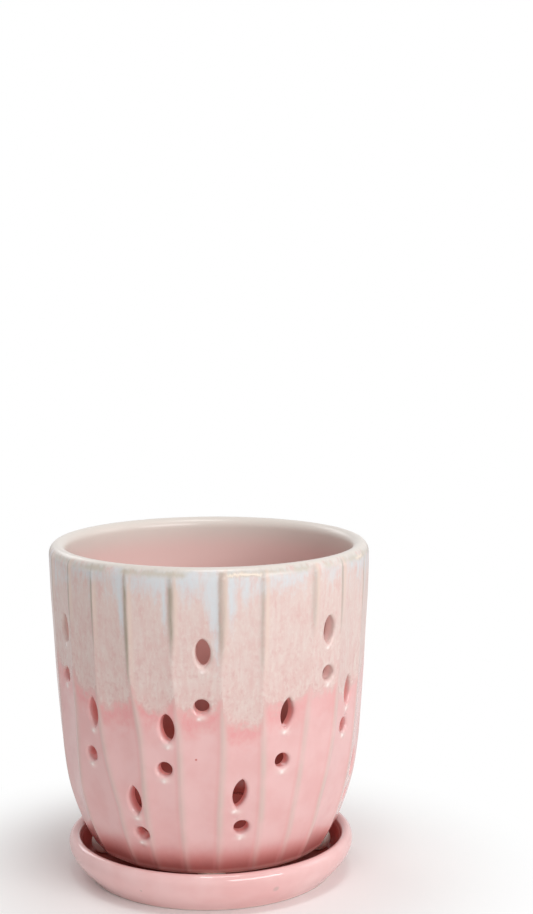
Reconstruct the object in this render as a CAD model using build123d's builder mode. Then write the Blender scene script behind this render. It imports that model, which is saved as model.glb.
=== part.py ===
# A stoneware orchid pot with air slots, standing on clear bumpers in its saucer.
# Millimetres, +Z up. The origin is on the pot's axis, in the plane the saucer stands on.
# The front of the pot faces -Y. Azimuth 0 is the front, and it grows towards +X.

import os
from math import cos, radians, sin

from build123d import *

# Pot: overall sizes
rim_radius = 80.0
foot_radius = 58.6
lip_height = 168.8
foot_height = 17.0
wall = 7.0

# Pot: the round lip, which the facets run out below
lip_wall = 8.4
lip_outer_width = 4.5
lip_outer_drop = 5.6
lip_inner_drop = 4.2

# Pot: side profile, as shares of the way up and of the way out from foot to rim
belly_height_shares = (0.0, 0.06, 0.125, 0.215, 0.33, 0.45, 0.56, 0.7, 0.87, 0.96, 1.04)
belly_spread_shares = (0.0, 0.234, 0.425, 0.619, 0.752, 0.822, 0.876, 0.925, 0.988, 0.998, 1.0)
# How flat the facets are at those heights: 0 is round, 1 is flat, and more is dished
belly_flat_shares = (1.1, 1.25, 1.35, 1.4, 1.4, 1.4, 1.4, 1.3, 0.8, 0.15, 0.05)
# How thick the wall is at those heights, as shares of wall: the inside has no point where it is 0
belly_wall_shares = (0, 0, 1.21, 1, 1, 1, 1, 1, 1, 0, 0)

# Facets: their shares of the way round at three heights, rightwards from the first facet's left ridge
facet_low_shares = (17.5, 22.5, 12.0, 14.2, 14.1, 16.0, 13.7, 13.6, 19.4, 17.5, 16.0,
                    17.0, 16.5, 17.0, 16.0, 17.5, 16.0, 17.0, 16.0, 17.5, 16.0, 17.0)
facet_middle_shares = (16.8, 15.3, 17.0, 14.3, 15.5, 14.5, 16.8, 15.4, 17.8, 17.0, 16.7,
                       16.3, 16.8, 17.5, 15.5, 17.0, 16.8, 16.5, 16.5, 16.5, 17.0, 16.5)
facet_top_shares = (16.5, 13.5, 14.7, 16.4, 16.8, 14.2, 20.0, 14.3, 17.6, 16.5, 17.5,
                    15.5, 17.0, 18.0, 15.0, 16.5, 17.5, 16.0, 17.0, 15.5, 18.0, 16.0)
first_ridge_azimuths = (-77.0, -74.4, -74.0)
lean_low_share = 0.217
lean_top_share = 0.665

# Pot: floor, foot ring and drain hole
floor_wall = 8.0
floor_corner_width = 14.0
foot_ring_width = 9.0
foot_ring_depth = 2.5
foot_round = 1.8
drain_radius = 8.0
drain_bevel = 1.2

# Air vents: an almond slot above a round hole in every facet
slot_width = 6.3
slot_length = 15.8
slot_tip_round = 1.7
hole_diameter = 7.2
vent_edge_bevel = 1.2
vent_depth = 12.0
# The rows' heights, slot and hole, as shares of the way from foot to lip
row_height_shares = {"top": (0.754, 0.593), "middle": (0.523, 0.385), "low": (0.27, 0.155)}
facet_rows = ("top", "middle", "low", "middle", "top", "low", "middle", "top", "middle", "low", "middle",
              "top", "low", "middle", "top", "middle", "low", "middle", "top", "low", "middle", "low")
# How far the vents of each facet wander: slot and hole sideways, as shares of the facet's width, then
# slot and hole upwards, as shares of the slot's length
wander_shares = ((0.18, 0.06, 0.09, 0.15), (0.23, -0.03, -0.05, -0.09), (0.13, 0.17, -0.17, -0.16),
                 (0.23, 0.07, -0.23, -0.18), (0.12, 0.06, -0.15, -0.22), (-0.04, 0.04, 0.16, 0.17),
                 (0.05, -0.01, 0.08, -0.04), (0.09, 0.15, 0.20, 0.40), (0.05, 0.02, 0.29, 0.53),
                 (0.12, 0.03, 0.06, 0.12), (0.18, -0.05, -0.06, -0.02), (-0.06, 0.09, -0.1, -0.16),
                 (0.14, 0.05, -0.16, -0.12), (0.12, 0.06, -0.15, 0.08), (-0.04, 0.04, 0.16, 0.1),
                 (-0.1, -0.04, 0.1, -0.04), (0.09, 0.12, 0.18, 0.34), (0.02, 0.07, 0.22, 0.3),
                 (0.16, 0.04, 0.08, 0.15), (0.2, -0.02, -0.06, -0.09), (-0.1, 0.1, -0.12, -0.16),
                 (-0.16, 0.06, -0.12, -0.1))
# How the slots lean, in degrees with the top to the right, which repeats round the pot
slot_leans = (1.0, -2.0, -4.0, -4.0, -2.0, 10.0, 7.0, 2.0, 3.0)

# Saucer: its base clears the pot's foot all round, and its wall flares out from there
saucer_foot_clearance = 3.2
saucer_flare = 10.2
saucer_height = 20.6
saucer_widest_height = 17.0
saucer_lip_wall = 6.0
saucer_floor_wall = 7.0
saucer_corner_round = 2.0
saucer_ring_width = 12.0
saucer_ring_depth = 1.2
saucer_edge_bevel = 0.8

# Clear bumpers, between the saucer's floor and the pot's foot ring
bumper_flat_radius = 5.8
bumper_bulge = 1.9
bumper_overhang = 2.8
# Where they stand, as shares of a full turn from the front, rightwards
bumper_turn_shares = {"bumper_front": 0, "bumper_right": 0.264, "bumper_back": 0.5, "bumper_left": 0.736}

# Every cut runs past the clay by this much
overrun = 6.0

crest_radius = rim_radius - lip_wall / 2
floor_height = foot_height + floor_wall
saucer_base_radius = foot_radius + saucer_foot_clearance
saucer_radius = saucer_base_radius + saucer_flare


def mix(low, high, share):
    return low + (high - low) * share


def height_at(share):
    return mix(foot_height, lip_height, share)


def radius_at(share):
    return mix(foot_radius, rim_radius, share)


def out_from_axis(radius, azimuth, height=0):
    return Vector(radius * sin(radians(azimuth)), -radius * cos(radians(azimuth)), height)


def ridges_at(share):
    # The ridges' azimuths at one height: they lean from the low table over the middle one to the top one
    climb = min(max((share - lean_low_share) / (lean_top_share - lean_low_share), 0), 1) * 2
    tables = (facet_low_shares, facet_middle_shares, facet_top_shares)
    step = min(int(climb), 1)
    azimuth = mix(first_ridge_azimuths[step], first_ridge_azimuths[step + 1], climb - step)
    ridges = [azimuth]
    for low, high in zip(tables[step], tables[step + 1]):
        azimuth += 360 * mix(low / sum(tables[step]), high / sum(tables[step + 1]), climb - step)
        ridges.append(azimuth)
    return ridges


def vent_place(index, is_hole):
    # Where a vent pierces its facet, facing squarely out of it
    wander = wander_shares[index]
    height_share = row_height_shares[facet_rows[index]][is_hole]
    left, right = ridges_at(height_share)[index:index + 2]
    azimuth = mix(left, right, 0.5 + wander[is_hole])
    height = height_at(height_share) + wander[2 + is_hole] * slot_length
    sight = Axis(out_from_axis(0, azimuth, height), out_from_axis(1, azimuth))
    point, outwards = clay.part.find_intersection_points(sight)[-1]
    lean = 0 if is_hole else radians(slot_leans[index % len(slot_leans)])
    across = out_from_axis(cos(lean), azimuth + 90, -sin(lean))
    return Plane(point, across, outwards).location


# Faceted clay, solid from its foot to above the lip
with BuildPart() as clay:
    belly_levels = zip(belly_height_shares, belly_spread_shares, belly_flat_shares)
    for level_share, spread_share, flat_share in belly_levels:
        ridge_radius = radius_at(spread_share)
        ridges = ridges_at(level_share)
        with BuildSketch(Plane.XY.offset(height_at(level_share))):
            with BuildLine():
                for left, right in zip(ridges, ridges[1:]):
                    flat_drop_share = 1 - cos(radians(right - left) / 2)
                    middle_radius = ridge_radius * (1 - flat_share * flat_drop_share)
                    ThreePointArc(
                        out_from_axis(ridge_radius, left),
                        out_from_axis(middle_radius, (left + right) / 2),
                        out_from_axis(ridge_radius, right),
                    )
            make_face()
    loft()
    fillet(clay.edges().group_by(Axis.Z)[0], foot_round)

# Cutters for the slots and the holes, flared towards the surface so that the cut edges come out bevelled
edge_steps = ((vent_depth, 0), (vent_edge_bevel, 0), (-vent_edge_bevel, 2 * vent_edge_bevel))
with BuildPart() as slot_cutter:
    for depth, spread in edge_steps:
        half_width = slot_width / 2 + spread
        half_length = slot_length / 2 + spread
        with BuildSketch(Plane.XY.offset(-depth)) as almond:
            with BuildLine():
                ThreePointArc((0, -half_length), (half_width, 0), (0, half_length))
                ThreePointArc((0, half_length), (-half_width, 0), (0, -half_length))
            make_face()
            fillet(almond.vertices(), slot_tip_round + spread)
    loft(ruled=True)

with BuildPart() as hole_cutter:
    for depth, spread in edge_steps:
        with BuildSketch(Plane.XY.offset(-depth)):
            Circle(hole_diameter / 2 + spread)
    loft(ruled=True)

# Pot: the clay, hollowed, lipped and pierced
with BuildPart() as pot:
    add(clay.part)
    with BuildSketch(Plane.XZ):
        with BuildLine():
            outer_centre = (crest_radius, lip_height - lip_outer_drop)
            inner_centre = (crest_radius, lip_height - lip_inner_drop)
            outer_lip = EllipticalCenterArc(outer_centre, lip_outer_width, lip_outer_drop, 0, arc_size=90)
            inner_lip = EllipticalCenterArc(inner_centre, lip_wall / 2, lip_inner_drop, 90, arc_size=90)
            inner_levels = zip(belly_height_shares, belly_spread_shares, belly_wall_shares)
            inner_wall = [(radius_at(spread_share) - wall * wall_share, height_at(level_share))
                          for level_share, spread_share, wall_share in inner_levels if wall_share > 0]
            floor_edge = (foot_radius - floor_corner_width, floor_height)
            Spline(inner_lip @ 1, *reversed(inner_wall), floor_edge, tangents=((0, -1), (-1, 0)))
            Polyline(
                floor_edge,
                (0, floor_height),
                (0, lip_height + 2 * overrun),
                (rim_radius + overrun, lip_height + 2 * overrun),
                (rim_radius + overrun, lip_height - lip_outer_drop),
                outer_lip @ 0,
            )
        make_face()
    revolve(axis=Axis.Z, mode=Mode.SUBTRACT)
    with BuildSketch(Plane.XY.offset(foot_height)):
        Circle(foot_radius - foot_round - foot_ring_width)
    extrude(amount=foot_ring_depth, mode=Mode.SUBTRACT)
    with Locations((0, 0, floor_height)):
        Hole(drain_radius, floor_wall)
    drain_edges = pot.edges().filter_by(lambda edge: edge.geom_type == GeomType.CIRCLE
                                        and abs(edge.radius - drain_radius) < drain_bevel)
    chamfer(drain_edges, drain_bevel)
    with Locations([vent_place(index, False) for index in range(len(facet_rows))]):
        add(slot_cutter.part, mode=Mode.SUBTRACT)
    with Locations([vent_place(index, True) for index in range(len(facet_rows))]):
        add(hole_cutter.part, mode=Mode.SUBTRACT)

# Saucer: a turned dish with a convex wall
with BuildPart() as saucer:
    with BuildSketch(Plane.XZ):
        with BuildLine():
            lip_half = saucer_lip_wall / 2
            lip_middle = saucer_radius - lip_half
            lip_rise = saucer_height - saucer_widest_height
            outer_centre = (lip_middle, saucer_widest_height)
            outer_lip = EllipticalCenterArc(outer_centre, lip_half, lip_rise, 0, arc_size=90)
            inner_lip = CenterArc((lip_middle, saucer_height - lip_half), lip_half, 90, 90)
            ring_edge = saucer_base_radius - saucer_ring_width
            Spline((saucer_base_radius, 0), outer_lip @ 0, tangents=((1, 1), (0, 1)))
            Polyline(
                inner_lip @ 1,
                (saucer_base_radius, saucer_floor_wall),
                (0, saucer_floor_wall),
                (0, saucer_ring_depth),
                (ring_edge, saucer_ring_depth),
                (ring_edge, 0),
                (saucer_base_radius, 0),
            )
        make_face()
    revolve(axis=Axis.Z)
    floor_edges = saucer.edges().filter_by_position(Axis.Z, saucer_floor_wall, saucer_floor_wall)
    fillet(floor_edges, saucer_corner_round)
    chamfer(saucer.edges().filter_by_position(Axis.Z, 0, 0), saucer_edge_bevel)

os.makedirs("parts", exist_ok=True)
pot.part.label = "pot"
export_step(pot.part, "parts/pot.step")
saucer.part.label = "saucer"
export_step(saucer.part, "parts/saucer.step")

# Bumpers: barrel-shaped clear pads that stand out a little from under the foot
bumper_height = foot_height - saucer_floor_wall
seat_radius = foot_radius - foot_round - bumper_flat_radius + bumper_overhang
for name, turn_share in bumper_turn_shares.items():
    seat = out_from_axis(seat_radius, 360 * turn_share, saucer_floor_wall)
    with BuildPart() as bumper:
        with BuildSketch(Plane(seat, x_dir=(1, 0, 0), z_dir=(0, -1, 0))):
            with BuildLine():
                bulge = ThreePointArc(
                    (bumper_flat_radius, 0),
                    (bumper_flat_radius + bumper_bulge, bumper_height / 2),
                    (bumper_flat_radius, bumper_height),
                )
                Polyline(bulge @ 1, (0, bumper_height), (0, 0), bulge @ 0)
            make_face()
        revolve(axis=Axis(seat, (0, 0, 1)))
    bumper.part.label = name
    export_step(bumper.part, f"parts/{name}.step")
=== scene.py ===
import math
from types import SimpleNamespace

import bpy
import numpy as np
from mathutils import Matrix, Vector


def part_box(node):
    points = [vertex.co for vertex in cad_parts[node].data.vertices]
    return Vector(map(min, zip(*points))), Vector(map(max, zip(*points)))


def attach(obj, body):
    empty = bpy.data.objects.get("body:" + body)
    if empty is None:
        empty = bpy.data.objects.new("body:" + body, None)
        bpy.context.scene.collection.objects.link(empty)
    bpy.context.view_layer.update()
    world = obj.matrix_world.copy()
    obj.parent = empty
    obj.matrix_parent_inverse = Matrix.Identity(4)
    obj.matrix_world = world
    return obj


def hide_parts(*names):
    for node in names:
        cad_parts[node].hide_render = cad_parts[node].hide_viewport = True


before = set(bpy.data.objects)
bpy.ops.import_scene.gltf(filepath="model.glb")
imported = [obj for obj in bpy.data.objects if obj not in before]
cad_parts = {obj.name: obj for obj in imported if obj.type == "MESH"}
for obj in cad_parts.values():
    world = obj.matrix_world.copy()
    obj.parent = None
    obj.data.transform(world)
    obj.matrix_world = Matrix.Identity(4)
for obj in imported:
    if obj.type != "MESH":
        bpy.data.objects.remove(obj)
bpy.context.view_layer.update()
print("frame loaded:", ", ".join(sorted(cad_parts)))

mm = 0.001


# Node helpers, used by the geometry trees and by the materials

def addNode(tree, kind, feeds=None, **settings):
    made = tree.nodes.new(kind)
    for name, value in settings.items():
        setattr(made, name, value)
    for key, feed in (feeds or {}).items():
        socket = made.inputs[key]
        if isinstance(feed, bpy.types.NodeSocket):
            tree.links.new(feed, socket)
        else:
            socket.default_value = feed
    return made


def calc(tree, operation, *values):
    return addNode(tree, "ShaderNodeMath", dict(enumerate(values)), operation=operation).outputs[0]


def remap(tree, value, lowIn, highIn, lowOut=0.0, highOut=1.0, kind="LINEAR"):
    feeds = {0: value, 1: lowIn, 2: highIn, 3: lowOut, 4: highOut}
    return addNode(tree, "ShaderNodeMapRange", feeds, interpolation_type=kind).outputs[0]


def fade(tree, value, start, end):
    # 0 at the start and 1 at the end, changing softly
    return remap(tree, value, start, end, kind="SMOOTHSTEP")


def bell(tree, value, width):
    # 1 where the value is 0, falling softly to nothing at about twice the width
    share = calc(tree, "DIVIDE", value, width)
    return calc(tree, "EXPONENT", calc(tree, "MULTIPLY", calc(tree, "MULTIPLY", share, share), -1.0))


def band(tree, value, middle, width):
    return bell(tree, calc(tree, "SUBTRACT", value, middle), width)


def sway(tree, noise, reach, value):
    # The value, moved up and down by a noise of 0 to 1
    return calc(tree, "MULTIPLY_ADD", calc(tree, "SUBTRACT", noise, 0.5), reach, value)


def product(tree, *values):
    result = values[0]
    for value in values[1:]:
        result = calc(tree, "MULTIPLY", result, value)
    return result


def blendColors(tree, share, first, second):
    return addNode(tree, "ShaderNodeMix", {0: share, 6: first, 7: second}, data_type="RGBA").outputs[2]


def layered(tree, base, *coats):
    # Each coat covers what is under it by its share
    for share, color in coats:
        base = blendColors(tree, share, base, color)
    return base


def splitVector(tree, vector):
    return addNode(tree, "ShaderNodeSeparateXYZ", {0: vector}).outputs


def joinVector(tree, x, y, z):
    return addNode(tree, "ShaderNodeCombineXYZ", {0: x, 1: y, 2: z}).outputs[0]


def vectorCalc(tree, operation, *values):
    outputs = addNode(tree, "ShaderNodeVectorMath", dict(enumerate(values)), operation=operation).outputs
    return outputs["Value" if operation in ("DISTANCE", "LENGTH") else "Vector"]


def newTree(name, kind, inputs, outputs):
    tree = bpy.data.node_groups.new(name, kind)
    for label, socketKind, value in inputs:
        socket = tree.interface.new_socket(label, in_out="INPUT", socket_type=socketKind)
        if value is not None:
            socket.default_value = value
    for label, socketKind in outputs:
        tree.interface.new_socket(label, in_out="OUTPUT", socket_type=socketKind)
    return tree, tree.nodes.new("NodeGroupInput").outputs, tree.nodes.new("NodeGroupOutput").inputs


def tone(red, green, blue):
    # A screen colour, 0 to 255, as the linear colour that the shaders work in
    parts = [channel / 255 for channel in (red, green, blue)]
    return tuple(p / 12.92 if p < 0.04045 else ((p + 0.055) / 1.055) ** 2.4 for p in parts) + (1.0,)


def curveThrough(places, values, wanted):
    # A smooth curve through a table's points
    places, values = np.array(places, float), np.array(values, float)
    slopes = np.gradient(values, places)
    index = np.clip(np.searchsorted(places, wanted) - 1, 0, len(places) - 2)
    width = places[index + 1] - places[index]
    share = np.clip((wanted - places[index]) / width, 0, 1)
    rest = 1 - share
    start = (1 + 2 * share) * rest ** 2 * values[index] + share * rest ** 2 * width * slopes[index]
    end = share ** 2 * (3 - 2 * share) * values[index + 1] - share ** 2 * rest * width * slopes[index + 1]
    return start + end


def addPiece(name, vertices, faces, material=None):
    mesh = bpy.data.meshes.new(name)
    mesh.from_pydata([tuple(v) for v in vertices], [], faces)
    mesh.update()
    mesh.shade_smooth()
    if material:
        mesh.materials.append(material)
    piece = bpy.data.objects.new(name, mesh)
    bpy.context.scene.collection.objects.link(piece)
    return piece


def addField(mesh, name, values):
    mesh.attributes.new(name, "FLOAT", "POINT").data.foreach_set("value", np.asarray(values, np.float32))


# Pot: the rule that its faceted wall follows, all lengths in millimetres

potLow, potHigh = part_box("pot")
pot = {
    "rimRadius": 79.9,
    "footRadius": 58.6,
    "footHeight": potLow.z / mm,
    "lipHeight": potHigh.z / mm,
    "wall": 7.0,
    "ridgeRound": 0.9,  # how soft the ridges are
    "crestRadius": 75.8,
    "lipDrop": 5.6,  # how far below the crest the lip's rounding begins outside
    "lipInnerDrop": 4.2,
    "footRound": 1.1,
    "floorWall": 8.0,
    "floorRadius": 44.0,
    "drainRadius": 8.0,
    "drainEdge": 1.2,
    "recessRadius": 47.8,
    "recessDepth": 2.5,
    "recessBevel": 0.6,
    "recessDraft": 0.1,
    "recessFlare": 0.8,
    "recessClear": (1.0, 3.0),  # how far within and outside the recess's edge the next points lie
    "wallRows": 112,
    "insideRows": 34,
    "facetColumns": 16,
    "heightShares": (0.0, 0.06, 0.125, 0.215, 0.33, 0.45, 0.56, 0.7, 0.87, 0.96, 1.04),
    "spreadShares": (0.0, 0.234, 0.425, 0.619, 0.752, 0.822, 0.876, 0.925, 0.988, 0.998, 1.0),
    "flatShares": (1.1, 1.25, 1.35, 1.4, 1.4, 1.4, 1.4, 1.3, 0.8, 0.15, 0.05),
    "insideHeightShares": (0.012, 0.035, 0.06, 0.125, 0.215, 0.33, 0.56, 0.87, 0.963),
    "insideInShares": (2.17, 1.6, 1.23, 1.03, 0.985, 0.99, 1.0, 1.0, 1.18),  # in wall thicknesses
    "insideUpShares": (0.89, 0.6, 0.59, 0.36, 0.22, 0.12, 0.05, 0.02, 0.0),
    "facetLowShares": (17.5, 22.5, 12.0, 14.2, 14.1, 16.0, 13.7, 13.6, 19.4, 17.5, 16.0,
                       17.0, 16.5, 17.0, 16.0, 17.5, 16.0, 17.0, 16.0, 17.5, 16.0, 17.0),
    "facetMiddleShares": (16.8, 15.3, 17.0, 14.3, 15.5, 14.5, 16.8, 15.4, 17.8, 17.0, 16.7,
                          16.3, 16.8, 17.5, 15.5, 17.0, 16.8, 16.5, 16.5, 16.5, 17.0, 16.5),
    "facetTopShares": (16.5, 13.5, 14.7, 16.4, 16.8, 14.2, 20.0, 14.3, 17.6, 16.5, 17.5,
                       15.5, 17.0, 18.0, 15.0, 16.5, 17.5, 16.0, 17.0, 15.5, 18.0, 16.0),
    "firstRidges": (-77.0, -74.4, -74.0),  # degrees round from the front
    "leanLowShare": 0.217,
    "leanTopShare": 0.665,
}
facetCount = len(pot["facetLowShares"])
potHeight = pot["lipHeight"] - pot["footHeight"]
lowShare = pot["footRound"] / potHeight
topShare = 1 - pot["lipDrop"] / potHeight


def ridgeTable():
    rows = []
    for first, key in zip(pot["firstRidges"], ("facetLowShares", "facetMiddleShares", "facetTopShares")):
        shares = np.array(pot[key]) / sum(pot[key])
        rows.append(first + 360 * np.concatenate(([0], np.cumsum(shares))))
    return np.array(rows)


ridgeRows = ridgeTable()


def ridgesAt(share):
    # Azimuths of all ridges at each height: they lean from the low table over the middle one to the top one
    climb = np.clip((share - pot["leanLowShare"]) / (pot["leanTopShare"] - pot["leanLowShare"]), 0, 1) * 2
    return np.stack([curveThrough((0, 1, 2), ridge, climb) for ridge in ridgeRows.T], -1)


def facetPlace(azimuth, share):
    # Which facet each point is on, how far across it, and that facet's angle
    ridges = ridgesAt(share)
    azimuth = ridges[:, 0] + (azimuth - ridges[:, 0]) % 360
    index = np.clip((azimuth[:, None] >= ridges).sum(1) - 1, 0, facetCount - 1)
    rows = np.arange(len(azimuth))
    left, right = ridges[rows, index], ridges[rows, index + 1]
    return index, (azimuth - left) / (right - left), right - left


def ridgeRadiusAt(share):
    spread = curveThrough(pot["heightShares"], pot["spreadShares"], share)
    return pot["footRadius"] + (pot["rimRadius"] - pot["footRadius"]) * spread


def outsideRadius(azimuth, share):
    # The ridges stand at the full radius, and the facets are hollowed between them
    radius = ridgeRadiusAt(share)
    across, angle = facetPlace(azimuth, share)[1:]
    width = radius * np.radians(angle)
    gap = np.minimum(across, 1 - across) * width
    soft = (np.sqrt(gap ** 2 + pot["ridgeRound"] ** 2) - pot["ridgeRound"]) / width
    flat = curveThrough(pot["heightShares"], pot["flatShares"], share)
    return radius - radius * flat * (1 - np.cos(np.radians(angle / 2))) * 4 * soft * (1 - soft)


def lipPath(steps):
    # From the outside over the crest to the inside, as radius from the crest and height
    angles = np.radians(np.linspace(0, 180, steps))
    inner = np.minimum(np.cos(angles), 0)
    outer = np.maximum(np.cos(angles), 0)
    return outer, inner, np.sin(angles)


def basePath():
    # From the floor inside through the drain hole and round the foot, as radius and height
    floor = pot["footHeight"] + pot["floorWall"]
    under = pot["footHeight"] + pot["recessDepth"]
    drain, foot, edge, rounding = pot["drainRadius"], pot["footHeight"], pot["drainEdge"], pot["footRound"]
    ringIn, ringOut, bevel = pot["recessRadius"], pot["footRadius"] - rounding, pot["recessBevel"]
    within, outside = pot["recessClear"]
    bend = np.radians(np.linspace(0, 90, 5))
    floorRun = [(radius, floor) for radius in np.linspace(pot["floorRadius"], drain + edge, 9)]
    upper = [(drain + edge - edge * math.sin(a), floor - edge + edge * math.cos(a)) for a in bend[1:]]
    lower = [(drain + edge - edge * math.cos(a), under + edge - edge * math.sin(a)) for a in bend]
    underRun = [(radius, under) for radius in np.linspace(drain + edge, ringIn - within, 7)[1:]]
    recess = [(ringIn, under - bevel), (ringIn + pot["recessDraft"], foot + bevel)]
    ring = [(ringIn + pot["recessFlare"], foot)]
    ring += [(radius, foot) for radius in np.linspace(ringIn + outside, ringOut, 4)]
    outer = [(ringOut + rounding * math.sin(a), foot + rounding * (1 - math.cos(a))) for a in bend[1:-1]]
    return np.array(floorRun + upper + lower + underRun + recess + ring + outer)


basePoints = basePath()
floorPoints = 14  # how many of them are on the floor inside and in the drain hole
facetedPoints = 5  # how many at the foot still follow the facets
lipSteps = 13


def betweenWalls(inward):
    return (inward > 1e-4) & (inward < 1 - 1e-4)


def atBase(share, inward):
    return (share < lowShare + 1e-5) & betweenWalls(inward)


def drawToForm(azimuth, share, inward):
    # Moves the points of the plain round sleeve to the pot's real form. Inward is 0 outside and 1 inside
    angle = np.radians(azimuth)
    radius = outsideRadius(azimuth, share)
    height = pot["footHeight"] + potHeight * share
    inShare = curveThrough(pot["insideHeightShares"], pot["insideInShares"], share)
    upShare = curveThrough(pot["insideHeightShares"], pot["insideUpShares"], share)
    inRadius, inHeight = ridgeRadiusAt(share) - pot["wall"] * inShare, height + pot["wall"] * upShare
    formRadius = radius + (inRadius - radius) * inward
    formHeight = height + (inHeight - height) * inward
    onLip = (share > topShare - 1e-5) & betweenWalls(inward)
    row = np.clip(inward * lipSteps, 0, lipSteps - 1)
    outer, inner, rise = (np.interp(row, np.arange(lipSteps), values) for values in lipPath(lipSteps))
    crest, innerDrop = pot["crestRadius"], pot["lipInnerDrop"]
    lipRadius = crest + (radius - crest) * outer + innerDrop * inner
    lipDrop = np.where(row <= (lipSteps - 1) / 2, pot["lipDrop"], innerDrop)
    lipHeight = pot["lipHeight"] - lipDrop * (1 - rise)
    formRadius = np.where(onLip, lipRadius, formRadius)
    formHeight = np.where(onLip, lipHeight, formHeight)
    onBase = atBase(share, inward)
    count = len(basePoints)
    place = (1 - inward) * (count + 1) - 1
    faceted = np.clip((place - count) / facetedPoints + 1, 0, 1)  # the facets run out towards the flat ring
    baseRadius, baseHeight = (np.interp(place, np.arange(count), values) for values in basePoints.T)
    formRadius = np.where(onBase, baseRadius - (ridgeRadiusAt(share) - radius) * faceted, formRadius)
    formHeight = np.where(onBase, baseHeight, formHeight)
    return np.stack((formRadius * np.sin(angle), -formRadius * np.cos(angle), formHeight), -1) * mm


# Pot: a plain round sleeve, with the facets' columns already leaning with the ridges

sleeveRadius = 75.0  # the wall is pierced while it is a plain sleeve of this radius


def sleeveSection():
    # The closed section of the wall, as height share and inward share
    wallUp = [(share, 0.0) for share in np.linspace(lowShare, topShare, pot["wallRows"])]
    lip = [(topShare, step / lipSteps) for step in range(1, lipSteps)]
    wallDown = [(share, 1.0) for share in np.linspace(topShare, lowShare, pot["insideRows"])]
    count = len(basePoints)
    base = [(lowShare, 1 - (step + 1) / (count + 1)) for step in range(count)]
    return np.array(wallUp + lip + wallDown + base)


def makeSleeve():
    section = sleeveSection()
    ridges = ridgesAt(section[:, 0])
    spacing = (1 - np.cos(np.linspace(0, math.pi, pot["facetColumns"] + 1)[:-1])) / 2
    columns = [ridges[:, i] + (ridges[:, i + 1] - ridges[:, i]) * share
               for i in range(facetCount) for share in spacing]
    angles = np.radians(np.stack(columns, 1))
    radius = (sleeveRadius - pot["wall"] * section[:, 1])[:, None]
    heights = np.broadcast_to((pot["footHeight"] + potHeight * section[:, 0])[:, None], angles.shape)
    points = np.stack((radius * np.sin(angles), -radius * np.cos(angles), heights), -1).reshape(-1, 3) * mm
    rowCount, columnCount = angles.shape
    faces = []
    for row in range(rowCount):
        this, above = row * columnCount, (row + 1) % rowCount * columnCount
        for column in range(columnCount):
            beside = (column + 1) % columnCount
            faces.append((this + column, this + beside, above + beside, above + column))
    return addPiece("potSleeve", points, faces)


# Air vents: an almond slot above a round hole in every facet, as they stand on the unrolled wall

vents = {
    "slotWidth": 6.9,
    "slotLength": 14.4,
    "slotPoint": 0.5,  # 0 is an oval, and more is a sharper almond
    "ovalSlotPoint": 0.15,
    "holeWidth": 7.4,
    "edgeRound": 1.4,
    "edgeSag": 0.7,  # how much rounder the lower edges are
    "insideEdgeRound": 1.0,
    "slotCorners": 44,
    "holeCorners": 34,
    "ovalFacets": (0, 3, 4, 7, 11, 14, 15, 18, 19),
    "shapeStretch": ((1.0, 1.0), (1.06, 0.92), (1.02, 0.92)),  # width and length: slot, oval slot, hole
    "rowShares": {"top": (0.754, 0.593), "middle": (0.523, 0.385), "low": (0.27, 0.155)},  # slot, hole
    "facetRows": ("top", "middle", "low", "middle", "top", "low", "middle", "top", "middle", "low", "middle",
                  "top", "low", "middle", "top", "middle", "low", "middle", "top", "low", "middle", "low"),
    "wanderShares": ((0.18, 0.06, 0.09, 0.15), (0.23, -0.03, -0.05, -0.09), (0.13, 0.17, -0.17, -0.16),
                     (0.23, 0.07, -0.23, -0.18), (0.12, 0.06, -0.15, -0.22), (-0.04, 0.04, 0.16, 0.17),
                     (0.05, -0.01, 0.08, -0.04), (0.09, 0.15, 0.20, 0.40), (0.05, 0.02, 0.29, 0.53),
                     (0.12, 0.03, 0.06, 0.12), (0.18, -0.05, -0.06, -0.02), (-0.06, 0.09, -0.1, -0.16),
                     (0.14, 0.05, -0.16, -0.12), (0.12, 0.06, -0.15, 0.08), (-0.04, 0.04, 0.16, 0.1),
                     (-0.1, -0.04, 0.1, -0.04), (0.09, 0.12, 0.18, 0.34), (0.02, 0.07, 0.22, 0.3),
                     (0.16, 0.04, 0.08, 0.15), (0.2, -0.02, -0.06, -0.09), (-0.1, 0.1, -0.12, -0.16),
                     (-0.16, 0.06, -0.12, -0.1)),
    "wanderLength": 15.8,
    "slotLeans": (1.0, -2.0, -4.0, -4.0, -2.0, 10.0, 7.0, 2.0, 3.0),  # degrees, top to the right
}


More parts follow.
